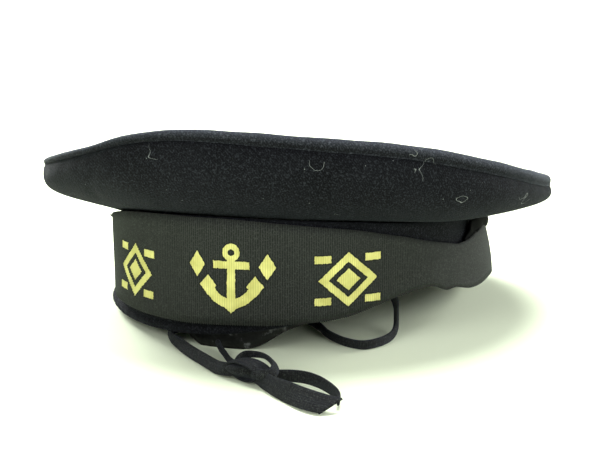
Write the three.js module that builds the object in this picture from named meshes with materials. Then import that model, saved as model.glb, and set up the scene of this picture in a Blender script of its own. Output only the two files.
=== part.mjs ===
// A navy sailor cap with a ribbed ribbon and a chin strap, lying on a flat surface.
// Millimetres, +Z up. The wearer faces -Y, +X is the wearer's left, and the surface is z = 0.
import * as THREE from "three";

// Sizes
const crownWidth = 229; // across the rim of the crown
const crownLift = 85; // height of the rim's seam over the forehead
const crownMiddle = 71; // height of the top panel at its centre
const clothWall = 1.8; // wool of the crown
const rollHeight = 6; // padded roll between the top panel and the seam
const headLength = 197; // headband, front to back
const headWidth = 165; // headband, side to side
const bandTop = 54; // height of the headband's upper edge over the forehead
const bandWall = 2.4; // doubled wool of the headband
const hemRoll = 1.4; // how far the rolled hem stands out
const ribbonWall = 1;
const ribbonReach = 2.2; // how far the ribbon's loose edges stand off
const leatherWall = 1.6;
const leatherHeight = 34;
const strapWidth = 4; // chin strap, tied in a bow
const knotLength = 21;
const knotWidth = 13;
const knotHeight = 8;
const knotTurn = -5; // degrees from +X
const seamGap = 0.3; // between sewn edges
const layerGap = 0.4; // between layers that lie on each other
const steps = 72; // facets round the cap

// Shape tables: turn is degrees from the forehead towards the wearer's left
// reach is a share of half crownWidth, lift of crownLift, roll of rollHeight, belly of the side panel's drop
const crownRows = [
  { turn: -180, reach: 1.0, lift: 0.56, roll: 0.9, belly: 0.4 },
  { turn: -150, reach: 1.0, lift: 0.57, roll: 0.9, belly: 0.4 },
  { turn: -120, reach: 1.0, lift: 0.62, roll: 0.8, belly: 0.4 },
  { turn: -90, reach: 0.995, lift: 0.69, roll: 0.5, belly: 0.42 },
  { turn: -60, reach: 1.01, lift: 0.73, roll: 0.55, belly: 0.4 },
  { turn: -30, reach: 1.01, lift: 0.89, roll: 0.85, belly: 0.38 },
  { turn: 0, reach: 1.0, lift: 1.0, roll: 0.92, belly: 0.36 },
  { turn: 30, reach: 1.0, lift: 0.95, roll: 0.9, belly: 0.38 },
  { turn: 60, reach: 1.0, lift: 0.812, roll: 0.95, belly: 0.45 },
  { turn: 90, reach: 0.993, lift: 0.64, roll: 0.9, belly: 0.56 },
  { turn: 120, reach: 0.99, lift: 0.59, roll: 0.9, belly: 0.55 },
  { turn: 150, reach: 1.0, lift: 0.57, roll: 0.9, belly: 0.45 },
];

// neck and hem are shares of the head oval at the band's two edges, rise and fall are shares of bandTop
const bandRows = [
  { turn: -180, neck: 1.0, hem: 1.0, bulge: 1.0, rise: 0.62, fall: 0 },
  { turn: -150, neck: 1.0, hem: 1.0, bulge: 1.0, rise: 0.62, fall: 0 },
  { turn: -120, neck: 1.0, hem: 0.98, bulge: 0.8, rise: 0.62, fall: 0 },
  { turn: -90, neck: 1.0, hem: 0.96, bulge: 0.4, rise: 0.65, fall: 0.03 },
  { turn: -60, neck: 0.965, hem: 0.955, bulge: 0.3, rise: 0.77, fall: 0.04 },
  { turn: -30, neck: 0.98, hem: 0.97, bulge: 0.3, rise: 0.93, fall: 0.06 },
  { turn: 0, neck: 1.0, hem: 0.985, bulge: 0.3, rise: 1.0, fall: 0.115 },
  { turn: 30, neck: 1.0, hem: 0.98, bulge: 0.5, rise: 0.96, fall: 0.26 },
  { turn: 60, neck: 0.98, hem: 0.985, bulge: 0.9, rise: 0.86, fall: 0.37 },
  { turn: 90, neck: 0.95, hem: 1.005, bulge: 1.1, rise: 0.79, fall: 0.28 },
  { turn: 120, neck: 0.96, hem: 1.005, bulge: 1.2, rise: 0.72, fall: 0.1 },
  { turn: 150, neck: 1.0, hem: 1.0, bulge: 1.1, rise: 0.63, fall: 0 },
];

// top and foot are the ribbon's edges as shares of bandTop, flare and stand of ribbonReach
const ribbonRows = [
  { turn: -180, top: 0.57, foot: 0.1, flare: 0.1, stand: 0.1 },
  { turn: -120, top: 0.58, foot: 0.09, flare: 0.3, stand: 0.1 },
  { turn: -90, top: 0.61, foot: 0.11, flare: 0.7, stand: 0.3 },
  { turn: -60, top: 0.74, foot: 0.19, flare: 0.6, stand: 0 },
  { turn: -30, top: 0.915, foot: 0.205, flare: 0.3, stand: 0.5 },
  { turn: 0, top: 0.985, foot: 0.215, flare: 0.2, stand: 0.6 },
  { turn: 30, top: 0.92, foot: 0.245, flare: 0.3, stand: 0.6 },
  { turn: 45, top: 0.825, foot: 0.33, flare: 0.3, stand: 0.7 },
  { turn: 60, top: 0.72, foot: 0.35, flare: 0.2, stand: 0.8 },
  { turn: 77, top: 0.63, foot: 0.27, flare: 0.2, stand: 0.9 },
  { turn: 95, top: 0.62, foot: 0.22, flare: 0.3, stand: 1.0 },
  { turn: 120, top: 0.56, foot: 0.14, flare: 0.3, stand: 0.3 },
  { turn: 150, top: 0.56, foot: 0.11, flare: 0.1, stand: 0.1 },
];

// edge is the dark ribbon end's upper edge as a share of bandTop
const tabRows = [
  { turn: 76, edge: 0.66 },
  { turn: 80, edge: 0.7 },
  { turn: 86, edge: 0.772 },
  { turn: 98, edge: 0.772 },
  { turn: 104, edge: 0.73 },
  { turn: 109, edge: 0.66 },
];

// foot is the leather's lower edge as a share of leatherHeight: it meets the surface in front and clears the strap
const leatherRows = [
  { turn: -180, foot: 0.12 },
  { turn: -120, foot: 0.14 },
  { turn: -60, foot: 0.22 },
  { turn: -30, foot: 0.2 },
  { turn: -15, foot: 0.15 },
  { turn: -10, foot: 0.14 },
  { turn: -5, foot: 0 },
  { turn: 0, foot: 0 },
  { turn: 5, foot: 0 },
  { turn: 10, foot: 0.05 },
  { turn: 17, foot: 0.24 },
  { turn: 30, foot: 0.42 },
  { turn: 60, foot: 0.6 },
  { turn: 90, foot: 0.45 },
  { turn: 130, foot: 0.18 },
];

// Routes of the chin strap's centre line, kept as chosen
const sideRoute = [
  [58.5, -50.5, 18], [60, -52, 12], [60.6, -54.5, 5.4], [60, -61, 2.2], [57.4, -69.2, 2.1], [52.6, -74.8, 2.1],
  [46, -74.4, 2.1], [36.6, -67, 2.1], [30, -58, 2.1], [19, -48, 2.1], [3, -48, 2.1], [-11, -58, 2.1],
  [-19, -74, 2.1], [-20, -87, 2.1], [-15.6, -96, 2.1], [-8.6, -103.9, 2.1], [2.9, -117, 2.1], [10.6, -125.6, 2.4],
  [14.8, -129.9, 3.4],
];
const frontRoute = [
  [1.6, -99.4, 3.6], [3.8, -102.4, 2.6], [7.4, -107, 2.2], [13.2, -115.6, 2.5], [19.3, -124.3, 3.9],
];
const smallLoop = [
  [24.4, -122.4, 5.6], [25.2, -119.4, 6.6], [29, -119, 6.9], [33.6, -121.4, 6.4], [37.4, -125, 5.8], [38, -127.6, 5.8],
];
const longLoop = [
  [38.5, -130.9, 3], [44.6, -129, 2.1], [51.9, -131.4, 2.1], [58.5, -135.3, 2.1], [64.4, -140.4, 2.1],
  [68.6, -147, 2.1], [69.6, -153.4, 2.1], [66, -157, 2.1], [59.5, -154.3, 2.1], [53.3, -151, 2.1],
  [45.7, -146.6, 2.1], [37.7, -141.4, 2.2], [31.4, -136.9, 3],
];
const knotPlace = [27, -129.5];

// Helpers
const radians = THREE.MathUtils.degToRad;

// A smooth periodic curve through one column of a table
function around(rows, column) {
  const count = rows.length;
  const at = (i) => {
    const lap = Math.floor(i / count);
    const row = rows[i - lap * count];
    return { turn: row.turn + 360 * lap, value: row[column] };
  };
  const slope = (i) => (at(i + 1).value - at(i - 1).value) / (at(i + 1).turn - at(i - 1).turn);
  return (degrees) => {
    const turn = degrees - 360 * Math.floor((degrees - rows[0].turn) / 360);
    let i = 0;
    while (at(i + 1).turn <= turn) i += 1;
    const span = at(i + 1).turn - at(i).turn;
    const t = (turn - at(i).turn) / span;
    const bend = t * t * (3 - 2 * t);
    const ease = t * (1 - t) * (1 - t) * slope(i) - t * t * (1 - t) * slope(i + 1);
    return at(i).value * (1 - bend) + at(i + 1).value * bend + ease * span;
  };
}

// The same for a table that has two ends
function along(rows, column) {
  return (degrees) => {
    let i = 0;
    while (i < rows.length - 2 && rows[i + 1].turn < degrees) i += 1;
    const t = THREE.MathUtils.clamp((degrees - rows[i].turn) / (rows[i + 1].turn - rows[i].turn), 0, 1);
    return THREE.MathUtils.lerp(rows[i][column], rows[i + 1][column], t);
  };
}

// Closes a path of [radius, height] points into a wall: the path, then the same path moved to its right by the wall
function wallLoop(path, wall) {
  const back = path.map(([r, z], i) => {
    const [r0, z0] = path[Math.max(i - 1, 0)];
    const [r1, z1] = path[Math.min(i + 1, path.length - 1)];
    const length = Math.hypot(r1 - r0, z1 - z0);
    return [r + ((z1 - z0) / length) * wall, z - ((r1 - r0) / length) * wall];
  });
  return [...path, ...back.reverse()];
}

function place([r, z], degrees) {
  return [r * Math.sin(radians(degrees)), -r * Math.cos(radians(degrees)), z];
}

// Turns the faces out if they point in
function faceOut(positions, triangles) {
  let volume = 0;
  const corner = (i) => new THREE.Vector3(positions[3 * i], positions[3 * i + 1], positions[3 * i + 2]);
  for (let i = 0; i < triangles.length; i += 3) {
    const [a, b, c] = [corner(triangles[i]), corner(triangles[i + 1]), corner(triangles[i + 2])];
    volume += a.dot(b.cross(c));
  }
  if (volume < 0) triangles.reverse();
  const geometry = new THREE.BufferGeometry();
  geometry.setAttribute("position", new THREE.Float32BufferAttribute(positions, 3));
  geometry.setIndex(triangles);
  geometry.computeVertexNormals();
  return geometry;
}

// A closed ring: one section loop at each turn, joined all the way round
function ringSolid(loopAt) {
  const positions = [];
  const triangles = [];
  const count = loopAt(0).length;
  for (let i = 0; i < steps; i += 1) {
    const degrees = (360 * i) / steps;
    loopAt(degrees).forEach((point) => positions.push(...place(point, degrees)));
    const next = (i + 1) % steps;
    for (let k = 0; k < count; k += 1) {
      const l = (k + 1) % count;
      triangles.push(i * count + k, next * count + k, next * count + l);
      triangles.push(i * count + k, next * count + l, i * count + l);
    }
  }
  return faceOut(positions, triangles);
}

// A strip that goes part of the way round, with its two ends closed; the loop is a wall loop
function stripSolid(loopAt, from, to, pieces) {
  const positions = [];
  const triangles = [];
  const count = loopAt(from).length;
  for (let i = 0; i <= pieces; i += 1) {
    const degrees = from + ((to - from) * i) / pieces;
    loopAt(degrees).forEach((point) => positions.push(...place(point, degrees)));
    for (let k = 0; k < count && i < pieces; k += 1) {
      const l = (k + 1) % count;
      triangles.push(i * count + k, (i + 1) * count + k, (i + 1) * count + l);
      triangles.push(i * count + k, (i + 1) * count + l, i * count + l);
    }
  }
  for (let k = 0; k < count / 2 - 1; k += 1) {
    const [a, b, c, d] = [k, k + 1, count - 2 - k, count - 1 - k];
    triangles.push(a, b, c, a, c, d);
    const end = pieces * count;
    triangles.push(end + a, end + c, end + b, end + a, end + d, end + c);
  }
  return faceOut(positions, triangles);
}

// A panel with its middle on the axis: the loop starts at the axis outside and ends at the axis inside
function panelSolid(loopAt) {
  const positions = [];
  const triangles = [];
  const first = loopAt(0);
  const count = first.length - 2;
  for (let i = 0; i < steps; i += 1) {
    const degrees = (360 * i) / steps;
    loopAt(degrees).slice(1, -1).forEach((point) => positions.push(...place(point, degrees)));
    const next = (i + 1) % steps;
    for (let k = 0; k < count - 1; k += 1) {
      triangles.push(i * count + k, next * count + k, next * count + k + 1);
      triangles.push(i * count + k, next * count + k + 1, i * count + k + 1);
    }
    triangles.push(steps * count, next * count, i * count);
    triangles.push(steps * count + 1, i * count + count - 1, next * count + count - 1);
  }
  positions.push(0, 0, first[0][1], 0, 0, first[first.length - 1][1]);
  return faceOut(positions, triangles);
}

const curve = (points) => new THREE.CatmullRomCurve3(points.map((p) => new THREE.Vector3(...p)), false, "centripetal");

// A plain round tube of the strap's width along a route
function strapSolid(route, pieces) {
  const sides = 8;
  const section = new THREE.Shape();
  for (let i = 0; i < sides; i += 1) {
    const angle = (2 * Math.PI * (i + 0.5)) / sides;
    const [x, y] = [Math.cos(angle) * strapWidth / 2, Math.sin(angle) * strapWidth / 2];
    if (i === 0) section.moveTo(x, y);
    else section.lineTo(x, y);
  }
  return new THREE.ExtrudeGeometry(section, { steps: pieces, extrudePath: curve(route), curveSegments: 1 });
}

function bezier(points, pieces) {
  const [a, b, c, d] = points.map(([r, z]) => new THREE.Vector2(r, z));
  return new THREE.CubicBezierCurve(a, b, c, d).getPoints(pieces).map((p) => [p.x, p.y]);
}

// Crown
const rim = {
  reach: around(crownRows, "reach"),
  lift: around(crownRows, "lift"),
  roll: around(crownRows, "roll"),
  belly: around(crownRows, "belly"),
};
const band = {
  neck: around(bandRows, "neck"),
  hem: around(bandRows, "hem"),
  bulge: around(bandRows, "bulge"),
};
const bandRise = around(bandRows, "rise");
const bandFall = around(bandRows, "fall");
const neckHeight = (degrees) => bandRise(degrees) * bandTop;
const hemHeight = (degrees) => Math.max(bandFall(degrees), 0) * bandTop; // it lies flat on the surface at the back

function headOval(degrees) {
  const a = radians(degrees);
  return 1 / Math.hypot(Math.sin(a) / (headWidth / 2), Math.cos(a) / (headLength / 2));
}

// A point of the roll's half-round section, by its angle from level; the seam is at its lower end
const seamAngle = -65;
function rollPoint(degrees, angle) {
  const half = (rim.roll(degrees) * rollHeight) / 2;
  const a = radians(angle);
  const reach = (rim.reach(degrees) * crownWidth) / 2 - half + Math.cos(a) * half;
  return [reach, rim.lift(degrees) * crownLift + (Math.sin(a) - Math.sin(radians(seamAngle))) * half];
}

// The top panel: a shallow dome, then a padded roll down to the seam
function topLoop(degrees) {
  const [edge, height] = rollPoint(degrees, 100);
  const path = [0, 0.25, 0.5, 0.7, 0.85, 0.95].map((t) => [edge * t, crownMiddle + (height - crownMiddle) * t * t]);
  for (const angle of [100, 60, 20, -20, seamAngle]) path.push(rollPoint(degrees, angle));
  const loop = wallLoop(path, clothWall);
  loop[0] = [0, crownMiddle];
  loop[loop.length - 1] = [0, crownMiddle - clothWall];
  return loop;
}

// The side panel: from the seam it bellies out over the rim and comes in under it to the neck
function sideLoop(degrees) {
  const reach = (rim.reach(degrees) * crownWidth) / 2;
  const [edge, height] = rollPoint(degrees, seamAngle);
  const seam = height - seamGap;
  const neck = band.neck(degrees) * headOval(degrees) - bandWall;
  const foot = neckHeight(degrees) + seamGap;
  const drop = seam - foot;
  const belly = rim.belly(degrees);
  const path = bezier([
    [edge, seam],
    [reach + clothWall * 2, seam - drop * belly],
    [neck + (reach - neck) * 0.84, foot + drop * (0.72 - belly) ** 2 * 2],
    [neck, foot],
  ], 9);
  return wallLoop(path, clothWall);
}

// Headband and what lies on it
// Radius of the headband's outer face at a height between its edges
function bandRadius(degrees, height) {
  const oval = headOval(degrees);
  const foot = hemHeight(degrees);
  const t = THREE.MathUtils.clamp((height - foot) / (neckHeight(degrees) - foot), 0, 1);
  const swell = band.bulge(degrees) * bandWall * 4 * t * (1 - t);
  return oval * THREE.MathUtils.lerp(band.hem(degrees), band.neck(degrees), t) + swell;
}

function bandLoop(degrees) {
  const top = neckHeight(degrees);
  const foot = hemHeight(degrees);
  const path = [0, 0.25, 0.5, 0.75].map((t) => {
    const z = THREE.MathUtils.lerp(top, foot + hemRoll * 3, t);
    return [bandRadius(degrees, z), z];
  });
  const out = bandRadius(degrees, foot);
  return [
    ...path,
    [out, foot + hemRoll * 3],
    [out + hemRoll, foot + hemRoll * 2],
    [out + hemRoll * 0.6, foot],
    [out - bandWall, foot],
    ...path.slice().reverse().map(([r, z]) => [r - bandWall, z]),
  ];
}

const ribbon = {
  top: around(ribbonRows, "top"),
  foot: around(ribbonRows, "foot"),
  flare: around(ribbonRows, "flare"),
  stand: around(ribbonRows, "stand"),
};

function ribbonLoop(degrees) {
  const top = ribbon.top(degrees) * bandTop;
  const foot = ribbon.foot(degrees) * bandTop;
  const path = [0, 0.15, 0.5, 0.85, 1].map((t) => {
    const z = THREE.MathUtils.lerp(top, foot, t);
    const off = ribbon.flare(degrees) * (1 - t) ** 3 + ribbon.stand(degrees) * t ** 2;
    return [bandRadius(degrees, z) + layerGap + ribbonWall + hemRoll * t + off * ribbonReach, z];
  });
  return [...path, ...path.slice().reverse().map(([r, z]) => [r - ribbonWall, z])];
}

const tabEdge = along(tabRows, "edge");

// The dark ribbon end lies on the headband over the ribbon's upper edge
function tabLoop(degrees) {
  const foot = ribbon.top(degrees) * bandTop + layerGap;
  const top = Math.max(tabEdge(degrees) * bandTop, foot + ribbonWall);
  const path = [top, (top + foot) / 2, foot].map((z) => {
    const off = ribbonReach * ribbon.flare(degrees) * (top - z) / (top - foot);
    return [bandRadius(degrees, z) + layerGap + ribbonWall + off, z];
  });
  return [...path, ...path.slice().reverse().map(([r, z]) => [r - ribbonWall, z])];
}

const leatherFoot = around(leatherRows, "foot");

// The sweatband stands straight inside the headband, against its narrower edge
function leatherLoop(degrees) {
  const foot = leatherFoot(degrees) * leatherHeight;
  const top = Math.min(leatherHeight, neckHeight(degrees) - bandWall);
  const share = Math.min(band.neck(degrees), band.hem(degrees));
  const out = share * headOval(degrees) - bandWall - layerGap;
  const path = [0, 0.33, 0.66, 1].map((t) => [out, THREE.MathUtils.lerp(top, foot, t)]);
  return [...path, ...path.slice().reverse().map(([r, z]) => [r - leatherWall, z])];
}

// The object
const colours = {
  wool: new THREE.MeshStandardMaterial({ color: 0x1b2026, roughness: 0.95, metalness: 0 }),
  ribbon: new THREE.MeshStandardMaterial({ color: 0x262a26, roughness: 0.75, metalness: 0 }),
  tab: new THREE.MeshStandardMaterial({ color: 0x0c0d0d, roughness: 0.8, metalness: 0 }),
  leather: new THREE.MeshStandardMaterial({ color: 0x2a2c2c, roughness: 0.6, metalness: 0 }),
  strap: new THREE.MeshStandardMaterial({ color: 0x23282a, roughness: 0.9, metalness: 0 }),
};

const cap = new THREE.Group();

function add(name, geometry, material) {
  const mesh = new THREE.Mesh(geometry, material);
  mesh.name = name;
  cap.add(mesh);
  return mesh;
}

add("crown_top", panelSolid(topLoop), colours.wool);
add("crown_side", ringSolid(sideLoop), colours.wool);
add("headband", ringSolid(bandLoop), colours.wool);
add("hat_ribbon", ringSolid(ribbonLoop), colours.ribbon);
add("ribbon_tab", stripSolid(tabLoop, tabRows[0].turn, tabRows.at(-1).turn, 8), colours.tab);
add("sweatband", ringSolid(leatherLoop), colours.leather);
add("chin_strap_side", strapSolid(sideRoute, 32), colours.strap);
add("chin_strap_front", strapSolid(frontRoute, 4), colours.strap);
add("bow_small_loop", strapSolid(smallLoop, 8), colours.strap);
add("bow_long_loop", strapSolid(longLoop, 20), colours.strap);

const knot = add("bow_knot", new THREE.SphereGeometry(1, 12, 8), colours.strap);
knot.scale.set(knotLength / 2, knotWidth / 2, knotHeight / 2);
knot.rotation.z = radians(knotTurn);
knot.position.set(...knotPlace, knotHeight / 2);

export default cap;
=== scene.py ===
import math

import bmesh
import bpy
from mathutils import Matrix, Vector, noise


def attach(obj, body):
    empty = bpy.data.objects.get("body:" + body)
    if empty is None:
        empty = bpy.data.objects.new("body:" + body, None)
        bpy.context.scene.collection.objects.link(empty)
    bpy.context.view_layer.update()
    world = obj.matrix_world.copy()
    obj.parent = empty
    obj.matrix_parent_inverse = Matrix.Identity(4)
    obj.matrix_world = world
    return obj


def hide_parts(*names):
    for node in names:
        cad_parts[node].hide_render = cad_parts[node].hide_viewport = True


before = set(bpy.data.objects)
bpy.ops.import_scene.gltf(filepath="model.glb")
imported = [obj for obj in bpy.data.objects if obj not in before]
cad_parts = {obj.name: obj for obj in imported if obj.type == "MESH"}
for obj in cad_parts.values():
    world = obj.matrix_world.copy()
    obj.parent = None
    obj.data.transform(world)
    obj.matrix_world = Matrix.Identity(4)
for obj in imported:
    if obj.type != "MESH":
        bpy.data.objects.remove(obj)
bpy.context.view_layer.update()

mm = 0.001
fullTurn = 2 * math.pi


# Camera, at the photograph's angle

camera = {
    "azimuth": 20,
    "elevation": 11,
    "distance": 0.6,
    "target": (0, 0, 0.033),
    "focal": 1293 / 600,    # share of the picture's width
    "sensor": 36,
}


def makeCamera():
    a = math.radians(camera["azimuth"])
    e = math.radians(camera["elevation"])
    back = Vector((math.sin(a) * math.cos(e), -math.cos(a) * math.cos(e), math.sin(e)))
    data = bpy.data.cameras.new("photoCamera")
    data.sensor_width = camera["sensor"]
    data.lens = camera["focal"] * camera["sensor"]
    data.clip_start = 0.01
    data.clip_end = 50
    place = bpy.data.objects.new("photoCamera", data)
    place.location = Vector(camera["target"]) + back * camera["distance"]
    place.rotation_euler = back.to_track_quat("Z", "Y").to_euler()
    bpy.context.collection.objects.link(place)
    bpy.context.scene.camera = place


makeCamera()
print("camera done")


# Shader nodes, strung together by a small helper

class Finish:
    def __init__(self, name):
        self.material = bpy.data.materials.new(name)
        self.material.use_nodes = True
        self.tree = self.material.node_tree
        self.shader = self.tree.nodes["Principled BSDF"]
        self.coordinates = self.tree.nodes.new("ShaderNodeTexCoord")
        self.place = self.coordinates.outputs["Object"]
        self.uv = self.coordinates.outputs["UV"]

    def feed(self, socket, value):
        if isinstance(value, bpy.types.NodeSocket):
            self.tree.links.new(value, socket)
        else:
            socket.default_value = value

    def node(self, kind, settings=None, **inputs):
        made = self.tree.nodes.new(kind)
        for key, value in (settings or {}).items():
            setattr(made, key, value)
        for key, value in inputs.items():
            self.feed(made.inputs[key.replace("_", " ")], value)
        return made

    def math(self, operation, *values):
        made = self.tree.nodes.new("ShaderNodeMath")
        made.operation = operation
        for socket, value in zip(made.inputs, values):
            self.feed(socket, value)
        return made.outputs[0]

    def span(self, value, low, high, start=0.0, end=1.0):
        made = self.node("ShaderNodeMapRange", None, Value=value)
        for key, number in (("From Min", low), ("From Max", high), ("To Min", start), ("To Max", end)):
            self.feed(made.inputs[key], number)
        return made.outputs[0]

    def mix(self, factor, first, second, blend="MIX"):
        made = self.tree.nodes.new("ShaderNodeMix")
        made.data_type = "RGBA"
        made.blend_type = blend
        self.feed(made.inputs[0], factor)
        for socket, value in ((made.inputs[6], first), (made.inputs[7], second)):
            self.feed(socket, (*value, 1) if isinstance(value, tuple) else value)
        return made.outputs[2]

    def noise(self, scale, detail=2.0, roughness=0.5, vector=None):
        made = self.node("ShaderNodeTexNoise", None, Vector=vector or self.place, Scale=scale)
        made.inputs["Detail"].default_value = detail
        made.inputs["Roughness"].default_value = roughness
        return made.outputs[0]

    def cells(self, scale, vector=None):
        made = self.node("ShaderNodeTexVoronoi", None, Vector=vector or self.place, Scale=scale)
        return made.outputs["Distance"], made.outputs["Color"]

    def split(self, vector):
        return self.node("ShaderNodeSeparateXYZ", None, Vector=vector).outputs

    def bump(self, height, depth, strength=1.0, before=None):
        made = self.node("ShaderNodeBump", None, Height=height, Distance=depth, Strength=strength)
        if before is not None:
            self.feed(made.inputs["Normal"], before)
        return made.outputs[0]

    def put(self, **inputs):
        for key, value in inputs.items():
            self.feed(self.shader.inputs[key.replace("_", " ")], value)


# Pale lint on the cloth: short curly fibres and specks

def lint(finish, amount=0.74):
    size, colour = finish.cells(62)
    chosen = finish.math("GREATER_THAN", finish.split(colour)[0], amount)
    near = finish.math("LESS_THAN", size, 0.33)
    line = finish.math("ABSOLUTE", finish.math("SUBTRACT", finish.noise(125, 1.0), 0.53))
    fibre = finish.math("LESS_THAN", line, 0.0032)
    spotSize, spotColour = finish.cells(300)
    spot = finish.math("LESS_THAN", spotSize, 0.055)
    picked = finish.math("GREATER_THAN", finish.split(spotColour)[1], 0.88)
    fibres = finish.math("MULTIPLY", finish.math("MULTIPLY", chosen, near), fibre)
    return finish.math("MAXIMUM", fibres, finish.math("MULTIPLY", spot, picked))


# Napped wool, paler with painted top light where the piece's own attribute says so
def woolFinish(name, paintedToplight):
    f = Finish(name)
    nap = f.noise(2600, 3, 0.7)
    grain = f.noise(1350, 2, 0.75)
    blotch = f.noise(30, 3, 0.55)
    diagonal = {"bands_direction": "DIAGONAL"}
    thread = f.node("ShaderNodeTexWave", diagonal, Vector=f.place, Scale=470, Distortion=6)
    thread.inputs["Detail Scale"].default_value = 4
    dark = (0.0018, 0.0020, 0.0027)
    mid = (0.0042, 0.0045, 0.0062)
    pale = (0.0240, 0.0262, 0.0318)
    colour = f.mix(f.span(blotch, 0.35, 0.68), dark, mid)
    colour = f.mix(f.span(grain, 0.50, 0.70), colour, pale)
    colour = f.mix(f.span(thread.outputs[1], 0.5, 1, 0, 0.25), colour, pale)
    if paintedToplight > 0:
        # painted highlight: cloth facing up is made paler and brighter, standing in for light from above
        wornOrToplit = f.node("ShaderNodeAttribute", {"attribute_name": "paintedToplight"}).outputs["Fac"]
        colour = f.mix(f.math("MULTIPLY", wornOrToplit, 0.55), colour, (0.0080, 0.0088, 0.0105))
        gain = f.math("ADD", f.math("MULTIPLY", wornOrToplit, paintedToplight), 1)
        colour = f.node("ShaderNodeVectorMath", {"operation": "SCALE"}, Vector=colour, Scale=gain).outputs[0]
    colour = f.mix(f.math("MULTIPLY", lint(f), 0.6), colour, (0.30, 0.32, 0.32))
    height = f.math("ADD", f.math("MULTIPLY", nap, 0.6), f.math("MULTIPLY", thread.outputs[1], 0.25))
    normal = f.bump(height, 0.00035, 0.7, f.bump(grain, 0.0005, 0.6))
    f.put(Base_Color=colour, Roughness=f.span(grain, 0.3, 0.7, 0.86, 0.97), Normal=normal)
    f.put(Sheen_Weight=0.03 + 0.01 * paintedToplight, Sheen_Roughness=0.35, Sheen_Tint=(0.72, 0.84, 1, 1))
    f.put(Specular_IOR_Level=0.06)
    return f.material


# Distances in millimetres from plain forms, negative inside

def barForm(f, u, v, x, y, halfWide, halfTall):
    across = f.math("SUBTRACT", f.math("ABSOLUTE", f.math("SUBTRACT", u, x)), halfWide)
    up = f.math("SUBTRACT", f.math("ABSOLUTE", f.math("SUBTRACT", v, y)), halfTall)
    return f.math("MAXIMUM", across, up)


def ringForm(f, u, v, x, y, radius, half):
    du = f.math("SUBTRACT", u, x)
    dv = f.math("SUBTRACT", v, y)
    reach = f.math("SQRT", f.math("ADD", f.math("MULTIPLY", du, du), f.math("MULTIPLY", dv, dv)))
    return f.math("SUBTRACT", f.math("ABSOLUTE", f.math("SUBTRACT", reach, radius)), half)


def lozengeForm(f, u, v, x, y, halfWide, halfTall):
    across = f.math("DIVIDE", f.math("ABSOLUTE", f.math("SUBTRACT", u, x)), halfWide)
    up = f.math("DIVIDE", f.math("ABSOLUTE", f.math("SUBTRACT", v, y)), halfTall)
    share = f.math("SUBTRACT", f.math("ADD", across, up), 1)
    return f.math("MULTIPLY", share, 0.7 * min(halfWide, halfTall))


def nearest(f, forms):
    both = forms[0]
    for form in forms[1:]:
        both = f.math("MINIMUM", both, form)
    return both


# Plain anchor between two small lozenges
def anchorMotif(f, u, v):
    bow = f.math("MAXIMUM", ringForm(f, u, v, 0, -0.3, 9.6, 1.9), f.math("ADD", v, 3.2))
    return nearest(f, [
        ringForm(f, u, v, 0, 10.4, 2.4, 1.1),
        barForm(f, u, v, 0, -1.2, 1.7, 9.6),
        barForm(f, u, v, 0, 5.4, 7.4, 1.5),
        bow,
        lozengeForm(f, u, v, -9.6, -3.0, 3.5, 4.2),
        lozengeForm(f, u, v, 9.6, -3.0, 3.5, 4.2),
        lozengeForm(f, u, v, 0, -11.0, 3.4, 2.8),
        lozengeForm(f, u, v, -14.4, 5.0, 3.4, 5.2),
        lozengeForm(f, u, v, 14.4, 5.0, 3.4, 5.2),
    ])


# Lozenge inside a lozenge frame, between two bars
def lozengeMotif(f, u, v):
    outer = lozengeForm(f, u, v, 0, 0, 12.5, 11)
    inner = lozengeForm(f, u, v, 0, 0, 8.3, 7.2)
    frameForm = f.math("MAXIMUM", outer, f.math("MULTIPLY", inner, -1))
    return nearest(f, [
        frameForm,
        lozengeForm(f, u, v, 0, 0, 5.0, 4.4),
        barForm(f, u, v, -10.6, 8.4, 3.4, 1.5),
        barForm(f, u, v, 10.6, 8.4, 3.4, 1.5),
        barForm(f, u, v, -10.6, -8.4, 3.4, 1.5),
        barForm(f, u, v, 10.6, -8.4, 3.4, 1.5),
    ])


motifs = [
    {"turn": -25, "middle": 0.0275, "form": lozengeMotif},
    {"turn": 4.5, "middle": 0.0305, "form": anchorMotif},
    {"turn": 31.5, "middle": 0.0295, "form": lozengeMotif},
]
ribCount = 660    # ribs right round the ribbon


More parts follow.
